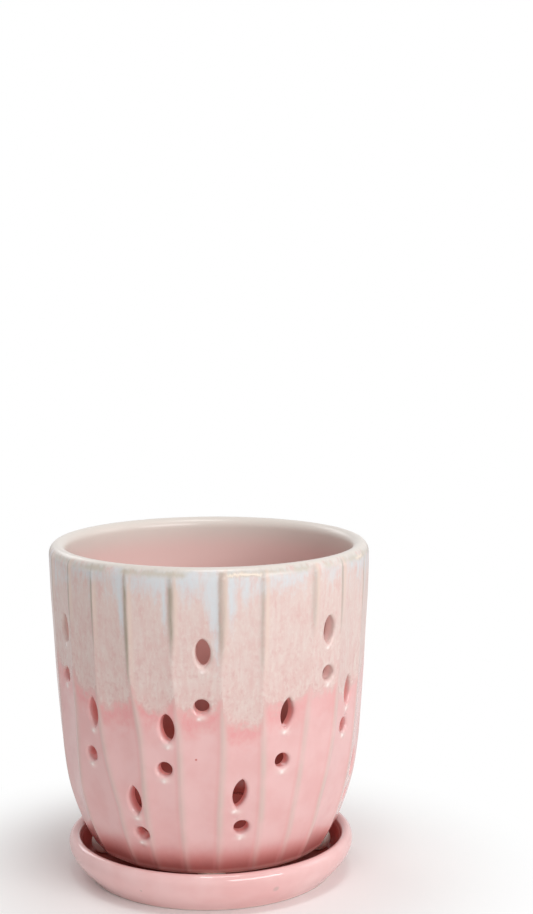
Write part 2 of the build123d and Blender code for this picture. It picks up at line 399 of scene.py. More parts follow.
def ventPlaces():
    # Every vent by its place across and up the unrolled wall, its lean in radians, its stretch, its kind
    # (0 slot, 1 oval slot, 2 hole) and size, and how far its inner mouth is let down to level the bore
    places, climb = [], 0.01
    for index, row in enumerate(vents["facetRows"]):
        wander = vents["wanderShares"][index]
        for isHole in (0, 1):
            share = vents["rowShares"][row][isHole]
            left, right = ridgesAt(np.array([share]))[0, index:index + 2]
            azimuth = (left + right) / 2 + wander[isHole] * (right - left)
            share += wander[2 + isHole] * vents["wanderLength"] / potHeight
            radius, above = ridgeRadiusAt(np.array([share, share + climb]))
            slope = math.atan2(above - radius, potHeight * climb)
            lean = 0 if isHole else vents["slotLeans"][index % len(vents["slotLeans"])]
            kind = 2 if isHole else int(index in vents["ovalFacets"])
            wide, tall = vents["shapeStretch"][kind]
            width = vents["holeWidth"] if isHole else vents["slotWidth"]
            length = vents["holeWidth"] if isHole else vents["slotLength"]
            places.append({
                "across": math.radians(azimuth) * sleeveRadius,
                "up": pot["footHeight"] + potHeight * share,
                "lean": math.radians(lean),
                "stretchAcross": wide * sleeveRadius / radius,
                "stretchUp": tall * math.cos(slope),
                "kind": kind,
                "halfWidth": wide * width / 2,
                "halfLength": tall * length / 2,
                "letDown": pot["wall"] * np.interp(share, pot["insideHeightShares"], pot["insideUpShares"]),
            })
    return places


ventList = ventPlaces()


def makeVentPoints():
    points = addPiece("ventPoints", [(vent["across"] * mm, vent["up"] * mm, 0) for vent in ventList], [])
    for name in ("lean", "stretchAcross", "stretchUp", "kind", "letDown"):
        addField(points.data, name, [vent[name] for vent in ventList])
    return points


def meshPlace(tree):
    return splitVector(tree, addNode(tree, "GeometryNodeInputPosition").outputs[0])


def mark(tree, name):
    return addNode(tree, "GeometryNodeInputNamedAttribute", {"Name": name}, data_type="FLOAT").outputs[0]


def ventCutter(tree, width, length, point, edge, sag, insideEdge, wall, around):
    # One closed cutter with rounded, flared mouths outside and inside, from a plain cylinder
    rings, arcRings, mouthAngle = 13, 6, math.radians(70)
    flareUp, flareOut = 0.31, 0.85  # the flare runs on past the surface, in edge radii
    cylinder = addNode(tree, "GeometryNodeMeshCylinder", {
        "Vertices": around, "Side Segments": rings, "Radius": 1.0, "Depth": 1.0}).outputs[0]
    place = meshPlace(tree)
    ring = calc(tree, "MULTIPLY", calc(tree, "SUBTRACT", 0.5, place[2]), rings)
    isInside = calc(tree, "GREATER_THAN", ring, rings / 2)
    step = calc(tree, "MINIMUM", ring, calc(tree, "SUBTRACT", rings, ring))
    bend = remap(tree, step, 1.0, float(arcRings), mouthAngle, 0.0)
    beyond = remap(tree, step, 0.0, 1.0, 1.0, 0.0)
    lowHalf = calc(tree, "MAXIMUM", calc(tree, "MULTIPLY", place[1], -1.0), 0.0)
    sagging = calc(tree, "MULTIPLY_ADD", lowHalf, sag, 1.0)
    outerEdge = calc(tree, "MULTIPLY", edge, sagging)
    edgeHere = calc(tree, "MULTIPLY_ADD", isInside, calc(tree, "SUBTRACT", insideEdge, outerEdge), outerEdge)
    cosine, sine = calc(tree, "COSINE", bend), calc(tree, "SINE", bend)
    outShare = calc(tree, "MULTIPLY_ADD", beyond, flareOut, calc(tree, "SUBTRACT", 1.0, cosine))
    downShare = calc(tree, "MULTIPLY_ADD", beyond, -flareUp, calc(tree, "SUBTRACT", 1.0, sine))
    spread = calc(tree, "MULTIPLY", outShare, edgeHere)
    down = calc(tree, "MULTIPLY", downShare, edgeHere)
    fromInside = calc(tree, "SUBTRACT", wall, down)
    depth = calc(tree, "MULTIPLY_ADD", isInside, calc(tree, "SUBTRACT", fromInside, down), down)
    narrow = calc(tree, "POWER", calc(tree, "ABSOLUTE", place[0]), point)
    across = product(tree, place[0], narrow, calc(tree, "MULTIPLY_ADD", width, 0.5, spread))
    up = product(tree, place[1], calc(tree, "MULTIPLY_ADD", length, 0.5, spread))
    shape = joinVector(tree, across, up, calc(tree, "MULTIPLY", depth, -1.0))
    return addNode(tree, "GeometryNodeSetPosition", {"Geometry": cylinder, "Position": shape}).outputs[0]


def pierceTree(material):
    inputs = [("Sleeve", "NodeSocketGeometry", None), ("Vent Points", "NodeSocketObject", None)]
    inputs += [(label, "NodeSocketFloat", value * scale) for label, value, scale in (
        ("Slot Width", vents["slotWidth"], mm), ("Slot Length", vents["slotLength"], mm),
        ("Slot Point", vents["slotPoint"], 1), ("Oval Slot Point", vents["ovalSlotPoint"], 1),
        ("Hole Width", vents["holeWidth"], mm), ("Edge Round", vents["edgeRound"], mm),
        ("Edge Sag", vents["edgeSag"], 1), ("Inside Edge Round", vents["insideEdgeRound"], mm),
        ("Wall", pot["wall"], mm), ("Sleeve Radius", sleeveRadius, mm))]
    outputs = [("Wall", "NodeSocketGeometry")]
    tree, given, result = newTree("pierceWall", "GeometryNodeTree", inputs, outputs)
    points = addNode(tree, "GeometryNodeObjectInfo", {"Object": given["Vent Points"]}).outputs["Geometry"]
    shared = (given["Edge Round"], given["Edge Sag"], given["Inside Edge Round"], given["Wall"])
    slotSize, holeSize = (given["Slot Width"], given["Slot Length"]), (given["Hole Width"],) * 2
    cutterKinds = (ventCutter(tree, *slotSize, given["Slot Point"], *shared, vents["slotCorners"]),
                   ventCutter(tree, *slotSize, given["Oval Slot Point"], *shared, vents["slotCorners"]),
                   ventCutter(tree, *holeSize, 0.0, *shared, vents["holeCorners"]))
    turn = joinVector(tree, 0.0, 0.0, calc(tree, "MULTIPLY", mark(tree, "lean"), -1.0))
    rotation = addNode(tree, "FunctionNodeEulerToRotation", {0: turn}).outputs[0]
    scale = joinVector(tree, mark(tree, "stretchAcross"), mark(tree, "stretchUp"), 1.0)
    join = tree.nodes.new("GeometryNodeJoinGeometry")
    for kind, cutter in enumerate(cutterKinds):
        chosen = calc(tree, "COMPARE", mark(tree, "kind"), float(kind), 0.1)
        placed = addNode(tree, "GeometryNodeInstanceOnPoints", {
            "Points": points, "Selection": chosen, "Instance": cutter, "Rotation": rotation, "Scale": scale})
        kept = addNode(tree, "GeometryNodeStoreNamedAttribute", {
            "Geometry": placed.outputs[0], "Name": "letDown", "Value": mark(tree, "letDown")},
            data_type="FLOAT", domain="INSTANCE")
        tree.links.new(kept.outputs[0], join.inputs[0])
    cutters = addNode(tree, "GeometryNodeRealizeInstances", {"Geometry": join.outputs[0]}).outputs[0]
    # The cutters stand on the unrolled wall, so they are rolled up round the sleeve
    place = meshPlace(tree)
    angle = calc(tree, "DIVIDE", place[0], given["Sleeve Radius"])
    radius = calc(tree, "ADD", place[2], given["Sleeve Radius"])
    letDown = calc(tree, "MULTIPLY", mark(tree, "letDown"), mm)
    height = calc(tree, "MULTIPLY_ADD", calc(tree, "DIVIDE", place[2], given["Wall"]), letDown, place[1])
    rolled = joinVector(tree, product(tree, radius, calc(tree, "SINE", angle)),
                        product(tree, radius, calc(tree, "COSINE", angle), -1.0), height)
    cutters = addNode(tree, "GeometryNodeSetPosition", {"Geometry": cutters, "Position": rolled}).outputs[0]
    pierced = addNode(tree, "GeometryNodeMeshBoolean", {"Mesh 1": given["Sleeve"], "Mesh 2": cutters},
                      operation="DIFFERENCE", solver="EXACT").outputs[0]
    whole = addNode(tree, "GeometryNodeRealizeInstances", {"Geometry": pierced}).outputs[0]
    coated = addNode(tree, "GeometryNodeSetMaterial", {"Geometry": whole, "Material": material}).outputs[0]
    tree.links.new(coated, result[0])
    return tree


def plainMesh(piece):
    # The evaluated piece as a mesh with no modifier left
    depsgraph = bpy.context.evaluated_depsgraph_get()
    return bpy.data.meshes.new_from_object(piece.evaluated_get(depsgraph), depsgraph=depsgraph)


# Glaze: what it follows from facet to facet and from ridge to ridge, beginning left of the front

glazeMap = {
    "meetHeights": (110, 105, 100.5, 102, 101, 94, 101.5, 103.5, 100, 105, 101,
                    97, 104, 100, 95, 102, 99, 106, 98, 103, 100, 107),
    "meetTilts": (-6, -6, 5, -2, 6, -2, 4, 2, 6, 6, -4, 4, -3, 5, 2, -5, 4, -3, 5, -4, 3, -5),
    "meetDips": (1, 2, 1, 5, 1, 2, 2, 1, 2, 3, 2, 4, 1, 3, 2, 4, 1, 2, 3, 1, 4, 2),
    "coralPowers": (0.8, 0.9, 0.95, 1.0, 1.0, 0.95, 0.7, 0.4, 0.35, 0.5, 0.8,
                    0.9, 0.7, 0.9, 1.0, 0.8, 0.9, 0.7, 1.0, 0.9, 0.8, 0.9),
    # The olive line on every ridge: length down from the lip and half width in millimetres, and strength
    "ridgeLines": ((34, 0.6, 0.7), (40, 0.5, 0.65), (48, 0.5, 0.9), (66, 0.9, 1.0), (46, 1.3, 1.0),
                   (50, 1.7, 0.7), (62, 1.0, 0.55), (40, 1.6, 0.4), (42, 0.6, 0.7), (40, 0.7, 0.6),
                   (32, 0.9, 0.7), (46, 0.6, 0.8), (36, 1.1, 0.6), (52, 0.5, 0.9), (40, 0.8, 0.7),
                   (26, 1.2, 0.5), (48, 0.6, 0.85), (42, 0.9, 0.6), (30, 1.1, 0.7), (50, 0.6, 0.9),
                   (38, 0.8, 0.6), (44, 0.7, 0.8)),
    "lineFadeShare": 0.6,  # how much of a line's length it fades over
    # Milky runs: facet, place across it, length down from the lip, half width, strength
    "runs": ((0, 0.3, 26, 2.4, 0.6), (0, 0.8, 18, 2.2, 0.6), (1, 0.98, 14, 3.2, 1.0),
             (1, 0.4, 12, 3.4, 0.5), (2, 0.06, 15, 3.8, 1.0), (2, 0.88, 36, 1.7, 0.95),
             (2, 0.74, 22, 3.0, 0.8), (2, 0.3, 13, 3.0, 0.5), (3, 0.86, 34, 1.4, 0.9),
             (3, 0.7, 20, 3.8, 0.95), (3, 0.3, 10, 5.0, 0.8), (4, 0.84, 37, 2.4, 1.0),
             (4, 0.9, 50, 1.4, 0.8), (4, 0.68, 24, 2.6, 0.8), (4, 0.36, 18, 6.0, 1.0),
             (5, 0.24, 31, 2.1, 1.0), (5, 0.6, 22, 3.4, 0.8), (6, 0.14, 17, 1.8, 0.7),
             (6, 0.6, 9, 4.0, 0.3), (7, 0.5, 16, 2.4, 0.6), (8, 0.3, 18, 2.4, 0.5),
             (8, 0.8, 26, 2.0, 0.5), (9, 0.2, 28, 2.6, 0.7), (10, 0.82, 38, 2.6, 0.9),
             (11, 0.2, 22, 2.4, 0.6), (12, 0.82, 44, 2.8, 0.9), (12, 0.3, 14, 4.0, 0.6),
             (13, 0.5, 16, 4.0, 0.6), (14, 0.2, 34, 2.2, 0.9), (15, 0.8, 26, 2.6, 0.7),
             (16, 0.2, 40, 2.8, 0.9), (16, 0.7, 14, 4.0, 0.6), (17, 0.84, 20, 2.4, 0.6),
             (18, 0.2, 30, 2.4, 0.8), (19, 0.84, 38, 2.8, 0.9), (20, 0.4, 14, 4.4, 0.6),
             (21, 0.82, 32, 2.2, 0.8)),
    "runEnd": 16.0,  # over how many millimetres a run fades out
    "runPast": 4.0,  # how far it fades on past its length
    "runWidthShares": (1.375, 0.75),  # how wide it is at the lip and at its end
    # Cream beads under the lip, in degrees round from the front
    "lipBeads": ((5, 18), (62, 70), (104, 122), (160, 170), (201, 222), (258, 266)),
    "beadEnd": 1.5,  # degrees over which a bead tapers
    # What hangs under a vent goes before the next vent below it, so far down and to each side
    "hangReach": 4.0,
    "hangSide": 4.5,
    "farAway": 50.0,  # the gap where nothing is near
}


def markRidges(mesh, index, across, below, ridgeGap):
    addField(mesh, "ridgeGap", ridgeGap)
    addField(mesh, "ridgeSide", np.sin(2 * math.pi * across))
    lines = np.array(glazeMap["ridgeLines"])[(index + (across > 0.5)) % facetCount]
    lineLength, lineWidth, linePower = lines.T
    fadeLength = glazeMap["lineFadeShare"] * lineLength
    addField(mesh, "ridgeLine", np.clip((lineLength - below) / fadeLength, 0, 1))
    addField(mesh, "lineWidth", lineWidth)
    addField(mesh, "linePower", linePower)


def markBorder(mesh, index, across, height):
    # How far above the border of the two glazes, which hangs in a bow or a slant on every facet
    keys = ("meetHeights", "meetTilts", "meetDips")
    heights, tilts, dips = (np.array(glazeMap[key])[index] for key in keys)
    bow = dips * (4 * across * (1 - across) - 0.5)
    addField(mesh, "meetGap", height - heights - tilts * (across - 0.5) + bow)
    # The coral band is stronger on some facets, changing softly over the ridges
    powers = np.array(glazeMap["coralPowers"])
    nextTo = np.where(across < 0.5, index - 1, index + 1) % facetCount
    own = np.interp(np.abs(across - 0.5), (0.3, 0.5), (1, 0.5))
    addField(mesh, "coral", powers[index] * own + powers[nextTo] * (1 - own))


def markRuns(mesh, index, across, width, below):
    milk = np.zeros(len(index))
    past, end = glazeMap["runPast"], glazeMap["runEnd"]
    for facet, runPlace, runLength, runWidth, power in glazeMap["runs"]:
        halfWidth = runWidth * np.interp(below / runLength, (0, 1), glazeMap["runWidthShares"])
        sides = np.exp(-((across - runPlace) * width / halfWidth) ** 2)
        run = power * sides * np.clip((runLength + past - below) / end, 0, 1)
        milk = np.maximum(milk, np.where(index == facet, run, 0))
    addField(mesh, "milk", milk)


def markBeads(mesh, azimuth):
    round360 = azimuth % 360
    beads = [np.clip(np.minimum(round360 - start, end - round360) / glazeMap["beadEnd"], 0, 1)
             for start, end in glazeMap["lipBeads"]]
    addField(mesh, "lipBead", np.max(beads, axis=0))


def markVents(mesh, azimuth, share, height):
    # The nearest vent: how far away its edge is, and how far below its lower end and to its right a point is
    x = np.radians(azimuth) * sleeveRadius
    best = np.full(len(azimuth), 1e3)
    ventGap, ventBelow, side = best, np.full_like(best, glazeMap["farAway"]), np.zeros_like(best)
    turn = 2 * math.pi * sleeveRadius
    for vent in ventList:
        dx = ((x - vent["across"] + turn / 2) % turn - turn / 2) * ridgeRadiusAt(share) / sleeveRadius
        dy = height - vent["up"]
        cosine, sine = math.cos(vent["lean"]), math.sin(vent["lean"])
        a, b = dx * cosine - dy * sine, dx * sine + dy * cosine
        far = np.sqrt((a / vent["halfWidth"]) ** 2 + (b / vent["halfLength"]) ** 2) + 1e-6
        gap = np.sqrt(a ** 2 + b ** 2) * (1 - 1 / far)
        hanging = (b < 0) & (np.abs(a) < glazeMap["hangSide"])
        claim = np.where(hanging, gap - glazeMap["hangReach"], gap)
        near = claim < best
        best = np.where(near, claim, best)
        ventGap = np.where(near, gap, ventGap)
        ventBelow = np.where(near, -b - vent["halfLength"], ventBelow)
        side = np.where(near, a, side)
    addField(mesh, "ventGap", ventGap)
    addField(mesh, "ventBelow", ventBelow)
    addField(mesh, "ventSide", side)


def markGlaze(mesh, azimuth, share, inward):
    # Stores on the mesh what the glaze follows, in millimetres
    onBase = atBase(share, inward)
    onFloor = onBase & (inward > 1 - (floorPoints + 1) / (len(basePoints) + 1))
    index, across, angle = facetPlace(azimuth, share)
    width = ridgeRadiusAt(share) * np.radians(angle)
    height = pot["footHeight"] + potHeight * share
    below = pot["lipHeight"] - height
    ridgeGap = np.where(onBase, glazeMap["farAway"], np.minimum(across, 1 - across) * width)
    markRidges(mesh, index, across, below, ridgeGap)
    markBorder(mesh, index, across, height)
    markRuns(mesh, index, across, width, below)
    markBeads(mesh, azimuth)
    markVents(mesh, azimuth, share, height)
    addField(mesh, "inward", np.where(onBase, onFloor, inward))


def vertexValues(mesh, name):
    values = np.zeros(len(mesh.vertices) * 3)
    mesh.vertices.foreach_get(name, values)
    return values.reshape(-1, 3)


def ruleNormals(mesh, azimuth, share, inward):
    # Round the vents the cut leaves uneven faces, so the facets take their normals from the rule
    normals = vertexValues(mesh, "normal")
    onFacet = (inward < 1e-4) & (share > lowShare + 1e-4) & (share < topShare - 1e-4)
    a, s, i = azimuth[onFacet], share[onFacet], inward[onFacet]
    turnStep, climbStep = 0.05, 0.0003
    around = drawToForm(a + turnStep, s, i) - drawToForm(a - turnStep, s, i)
    upward = drawToForm(a, s + climbStep, i) - drawToForm(a, s - climbStep, i)
    ruled = np.cross(around, upward)
    normals[onFacet] = ruled / np.linalg.norm(ruled, axis=1)[:, None]
    mesh.normals_split_custom_set_from_vertices(normals.tolist())


def makePot(material):
    sleeve, points = makeSleeve(), makeVentPoints()
    modifier = sleeve.modifiers.new("pierceWall", "NODES")
    modifier.node_group = pierceTree(material)
    identifiers = {item.name: item.identifier for item in modifier.node_group.interface.items_tree}
    modifier[identifiers["Vent Points"]] = points
    mesh = plainMesh(sleeve)
    for helper in (sleeve, points):
        bpy.data.objects.remove(helper)
    mesh.name = "potBody"
    spots = vertexValues(mesh, "co") / mm
    azimuth = np.degrees(np.arctan2(spots[:, 0], -spots[:, 1]))
    share = (spots[:, 2] - pot["footHeight"]) / potHeight
    inward = np.clip((sleeveRadius - np.hypot(spots[:, 0], spots[:, 1])) / pot["wall"], 0, 1)
    mesh.vertices.foreach_set("co", drawToForm(azimuth, share, inward).ravel())
    markGlaze(mesh, azimuth, share, inward)
    mesh.update()
    mesh.shade_smooth()
    ruleNormals(mesh, azimuth, share, inward)
    piece = bpy.data.objects.new("potBody", mesh)
    bpy.context.scene.collection.objects.link(piece)
    print("pot:", len(mesh.vertices), "vertices,", len(mesh.polygons), "faces")
    return piece


# Shared glaze groups

def noiseOf(tree, vector, size, detail, roughness=0.5):
    scale = calc(tree, "DIVIDE", 1 / mm, size)
    feeds = {"Vector": vector, "Scale": scale, "Detail": detail, "Roughness": roughness}
    return addNode(tree, "ShaderNodeTexNoise", feeds).outputs[0]


def glazeToneGroup():
    # Soft clouds and vertical streaks in a glaze, 0 to 1
    tree, given, result = newTree("glazeTone", "ShaderNodeTree", [
        ("Vector", "NodeSocketVector", None), ("Cloud Size", "NodeSocketFloat", 18.0),
        ("Streak Size", "NodeSocketFloat", 1.4), ("Streak Length", "NodeSocketFloat", 16.0)],
        [("Clouds", "NodeSocketFloat"), ("Streaks", "NodeSocketFloat")])
    clouds = noiseOf(tree, given["Vector"], given["Cloud Size"], 3.0)
    squeeze = joinVector(tree, 1.0, 1.0, calc(tree, "DIVIDE", given["Streak Size"], given["Streak Length"]))
    drawn = vectorCalc(tree, "MULTIPLY", given["Vector"], squeeze)
    streaks = noiseOf(tree, drawn, given["Streak Size"], 4.0, 0.6)
    tree.links.new(clouds, result["Clouds"])
    tree.links.new(streaks, result["Streaks"])
    return tree


def glazeSkinGroup():
    # The slight waviness and the fine pitting of a fired glaze
    tree, given, result = newTree("glazeSkin", "ShaderNodeTree", [
        ("Vector", "NodeSocketVector", None), ("Wave Size", "NodeSocketFloat", 9.0),
        ("Wave Height", "NodeSocketFloat", 0.05), ("Grain Size", "NodeSocketFloat", 0.9),
        ("Grain Height", "NodeSocketFloat", 0.004)],
        [("Height", "NodeSocketFloat")])
    waves = product(tree, noiseOf(tree, given["Vector"], given["Wave Size"], 1.5), given["Wave Height"])
    grain = product(tree, noiseOf(tree, given["Vector"], given["Grain Size"], 2.0), given["Grain Height"])
    height = calc(tree, "MULTIPLY", calc(tree, "ADD", waves, grain), mm)
    tree.links.new(height, result["Height"])
    return tree


glazeTone, glazeSkin = glazeToneGroup(), glazeSkinGroup()


def newMaterial(name, **settings):
    material = bpy.data.materials.new(name)
    material.use_nodes = True
    tree = material.node_tree
    shader = tree.nodes["Principled BSDF"]
    for key, value in settings.items():
        shader.inputs[key.replace("_", " ")].default_value = value
    return material, tree, shader


def useGroup(tree, group, **feeds):
    named = {key.replace("_", " "): value for key, value in feeds.items()}
    return addNode(tree, "ShaderNodeGroup", named, node_tree=group).outputs


def objectPlace(tree):
    return addNode(tree, "ShaderNodeTexCoord").outputs["Object"]


def heightOf(tree, place):
    # In millimetres above what the saucer stands on
    return calc(tree, "MULTIPLY", splitVector(tree, place)[2], 1 / mm)


def field(tree, name):
    return addNode(tree, "ShaderNodeAttribute", attribute_name=name).outputs["Fac"]


def giveRelief(tree, shader, height):
    bump = addNode(tree, "ShaderNodeBump", {"Strength": 1.0, "Distance": 1.0, "Height": height})
    tree.links.new(bump.outputs[0], shader.inputs["Normal"])


# Pot's glaze: all lengths in millimetres

potGlaze = {
    "lowPink": tone(232, 187, 185),
    "lowRose": tone(228, 177, 175),
    # Painted shade: deep rose on the foot, where the saucer shades the pot
    "footShadeRose": tone(202, 122, 117),
    # Painted light: a lighter rose on the foot's lowest, downward-facing rounding, lifting its shade
    "footEdge": tone(228, 161, 154),
    "bareClay": tone(224, 200, 184),
    "coral": tone(229, 155, 154),
    "pale": tone(223, 201, 194),
    "palePink": tone(219, 184, 178),
    "speckPink": tone(203, 148, 145),
    "cream": tone(228, 212, 204),
    "milk": tone(213, 218, 222),
    "ridgeLow": tone(213, 188, 180),
    "ridgeHigh": tone(160, 148, 132),
    # Painted highlight: a peach band on the right of a ridge, the side the light falls on
    "peachHighlight": tone(226, 203, 190),
    "lip": tone(226, 217, 209),
    "lipLine": tone(197, 185, 167),
    "lipBead": tone(240, 224, 208),
    # Partly painted highlight: the pale glaze bead under a vent's lower lip, which faces up to the light
    "underVent": tone(236, 212, 206),
    # Painted highlight: a white glint on the bead under each vent
    "paintedGlint": tone(255, 240, 236),
    # Painted light: the bores are lighter and redder than the glaze, standing in for light and bounced light
    # inside them
    "boreLow": tone(242, 160, 156),
    "boreHigh": tone(244, 206, 200),
    "insideTop": tone(236, 206, 200),
    "insideMiddle": tone(242, 192, 185),
    # Painted shade: dark rose low inside the pot, where little light reaches
    "insideLowShade": tone(168, 84, 78),
    "insideFloorShade": tone(162, 76, 70),
    # Between which heights each of them comes in
    "heights": {
        "footShadeRose": (38.0, 20.0),
        "footEdge": (20.5, 18.5),
        "bareClay": (17.5, 17.15),
        "ridgeLow": (22.0, 46.0),
        "milk": (145.0, 165.0),
        "ridgeHigh": (168.0, 166.0),
        "boreHigh": (95.0, 116.0),
        "insideTop": (165.0, 150.0),
        "insideMiddle": (152.0, 112.0),
        "insideLowShade": (106.0, 48.0),
        "insideFloorShade": (58.0, 32.0),
        "innerLip": (160.0, 162.0),
        "lip": (166.4, 168.4),
    },
    # Noises, by the size of their clouds and the width and length of their streaks
    "broadNoise": {"Cloud_Size": 14.0, "Streak_Size": 2.4, "Streak_Length": 11.0},
    "fineNoise": {"Cloud_Size": 2.3, "Streak_Size": 1.4, "Streak_Length": 2.6},
    "patchNoise": {"Cloud_Size": 7.0},
    # The border of the two glazes: how far streaks, specks and patches move it, how far it climbs on a
    # ridge and over what width, and how far below and above it the glazes and the coral band fade
    "borderSways": (3.0, 8.0, 11.0),
    "borderClimb": 4.5,
    "borderClimbWidth": 1.9,
    "borderFade": (-3.5, 4.5),
    "coralFade": (-14.0, -2.0),
    "upwardReach": 50.0,  # how far above the border the upper glaze goes on getting paler
    "footSway": 2.0,
    "lipSway": 3.0,
    # Bands along a ridge: how far from it, and half width
    "ridgeBand": (0.0, 1.8),
    "ridgeShadeBand": (2.2, 0.8),
    # Painted shade: a coral line left of a ridge, the side turned from the light
    "peachHighlightBand": (2.1, 1.2),
    "rib": (0.0, 1.4),
    # Under a vent: half width across, then how far below the vent and half length
    "bead": (2.6, 1.9, 1.5),
    "glintSpot": (0.95, 2.4, 0.85),
    "drop": (1.7, 2.4, 1.3),
    "glintShift": 0.7,  # how far left of the middle the painted glint lies
    "glintSways": (3.0, 4.0),  # how far noises move it down and across
    "underVentFade": (5.0, 4.0),
    "boreFade": (3.0, 1.0),
    # On the lip: height and half width of the olive patches and of the cream beads
    "lipLineBand": (166.0, 1.5),
    "lipBeadBand": (165.4, 0.8),
    # Strengths
    "ridgeShadePower": 0.25,
    "creamPower": 0.5,
    "milkPower": 0.88,
    "peachHighlightPower": 0.85,
    "beadPower": 0.7,
    "glintPower": 0.85,
    "lipLinePower": 0.7,
    # Roughness of the lower and the upper glaze, and what a drop takes away and bare clay adds
    "roughness": (0.13, 0.3),
    "dropShine": 0.1,
    "bareRoughness": 0.5,
    # Relief: heights of waves, of the grain below and above, of the ribs on the ridges, and of beads
    "waveHeight": 0.035,
    "grainHeights": (0.0015, 0.009),
    "ribHeights": (0.12, 0.35),
    "dropHeight": 0.3,
    "lipBeadHeight": 0.35,
    "pinhole": (-5.2, 78.0),  # where a pinhole stayed in the glaze: degrees round and height
    "pinholeRadius": 0.7,  # where its soft edge ends
}


def comesIn(tree, guide, name):
    return fade(tree, guide.z, *potGlaze["heights"][name])


def underVentSpot(tree, guide, name, side, below):
    halfWidth, middle, halfLength = potGlaze[name]
    lengthwise = band(tree, below, middle, halfLength)
    return product(tree, bell(tree, side, halfWidth), lengthwise, guide.underVent)


def potGuides(tree):
    # What the pot's glaze follows: height, noises, the fields on its wall, and shares made from them
    values, place = potGlaze, objectPlace(tree)
    guide = SimpleNamespace(place=place, z=heightOf(tree, place))
    guide.clouds, guide.streaks = useGroup(tree, glazeTone, Vector=place, **values["broadNoise"])
    guide.specks, guide.dashes = useGroup(tree, glazeTone, Vector=place, **values["fineNoise"])
    guide.patchy = useGroup(tree, glazeTone, Vector=place, **values["patchNoise"])["Clouds"]
    for name in ("ridgeGap", "ridgeSide", "ridgeLine", "lineWidth", "linePower", "coral", "milk",
                 "ventGap", "ventBelow", "ventSide", "inward"):
        setattr(guide, name, field(tree, name))
    # The border between the two glazes wanders and breaks up into specks
    border = field(tree, "meetGap")
    for noise, reach in zip((guide.streaks, guide.specks, guide.patchy), values["borderSways"]):
        border = sway(tree, noise, reach, border)
    onRidge = bell(tree, guide.ridgeGap, values["borderClimbWidth"])
    guide.border = calc(tree, "MULTIPLY_ADD", onRidge, -values["borderClimb"], border)
    guide.upper = fade(tree, guide.border, *values["borderFade"])
    guide.bare = comesIn(tree, guide, "bareClay")
    guide.outside = fade(tree, guide.inward, 0.12, 0.02)
    guide.outerHalf = fade(tree, guide.inward, 0.5, 0.4)
    guide.underVent = product(tree, guide.outside, fade(tree, guide.ventGap, *values["underVentFade"]))
    guide.drop = underVentSpot(tree, guide, "drop", guide.ventSide, guide.ventBelow)
    guide.lipHeight = sway(tree, guide.streaks, values["lipSway"], guide.z)
    beadBand = band(tree, guide.lipHeight, *values["lipBeadBand"])
    guide.lipBead = product(tree, field(tree, "lipBead"), beadBand, guide.outerHalf)
    return guide


def lowerGlaze(tree, guide):
    # Even pink, painted darker towards the foot as shade from the saucer and lighter again on its lowest
    # edge, with a coral band under the border and paler ridges
    values = potGlaze
    low = blendColors(tree, fade(tree, guide.clouds, 0.35, 0.7), values["lowPink"], values["lowRose"])
    dashed = remap(tree, guide.dashes, 0.3, 0.6, 0.5, 0.85)
    coral = product(tree, fade(tree, guide.border, *values["coralFade"]), dashed, guide.coral)
    # Painted shade: the pink deepens to rose towards the foot, where the saucer shades it
    footHeight = sway(tree, guide.streaks, values["footSway"], guide.z)
    footShade = fade(tree, footHeight, *values["heights"]["footShadeRose"])
    ridge = product(tree, band(tree, guide.ridgeGap, *values["ridgeBand"]),
                    remap(tree, guide.clouds, 0.35, 0.65, 0.4, 0.85),
                    remap(tree, guide.z, *values["heights"]["ridgeLow"], 0.3, 1.0))
    # Painted shade: coral on the left of each ridge, the side turned away from the light
    left = product(tree, band(tree, guide.ridgeGap, *values["ridgeShadeBand"]),
                   fade(tree, guide.ridgeSide, 0.0, -0.3), values["ridgeShadePower"])
    return layered(tree, low, (coral, values["coral"]), (footShade, values["footShadeRose"]),
                   (comesIn(tree, guide, "footEdge"), values["footEdge"]), (guide.bare, values["bareClay"]),
                   (ridge, values["ridgeLow"]), (left, values["coral"]))


def milkShare(tree, guide):
    # Milky runs from the lip, broken up by dashes and streaks
    cloudy = remap(tree, guide.clouds, 0.36, 0.6, 0.2, 0.75)
    milk = calc(tree, "MAXIMUM", guide.milk, product(tree, comesIn(tree, guide, "milk"), cloudy))
    milk = sway(tree, guide.streaks, 0.9, sway(tree, guide.dashes, 0.5, milk))
    return fade(tree, milk, 0.1, 1.0)


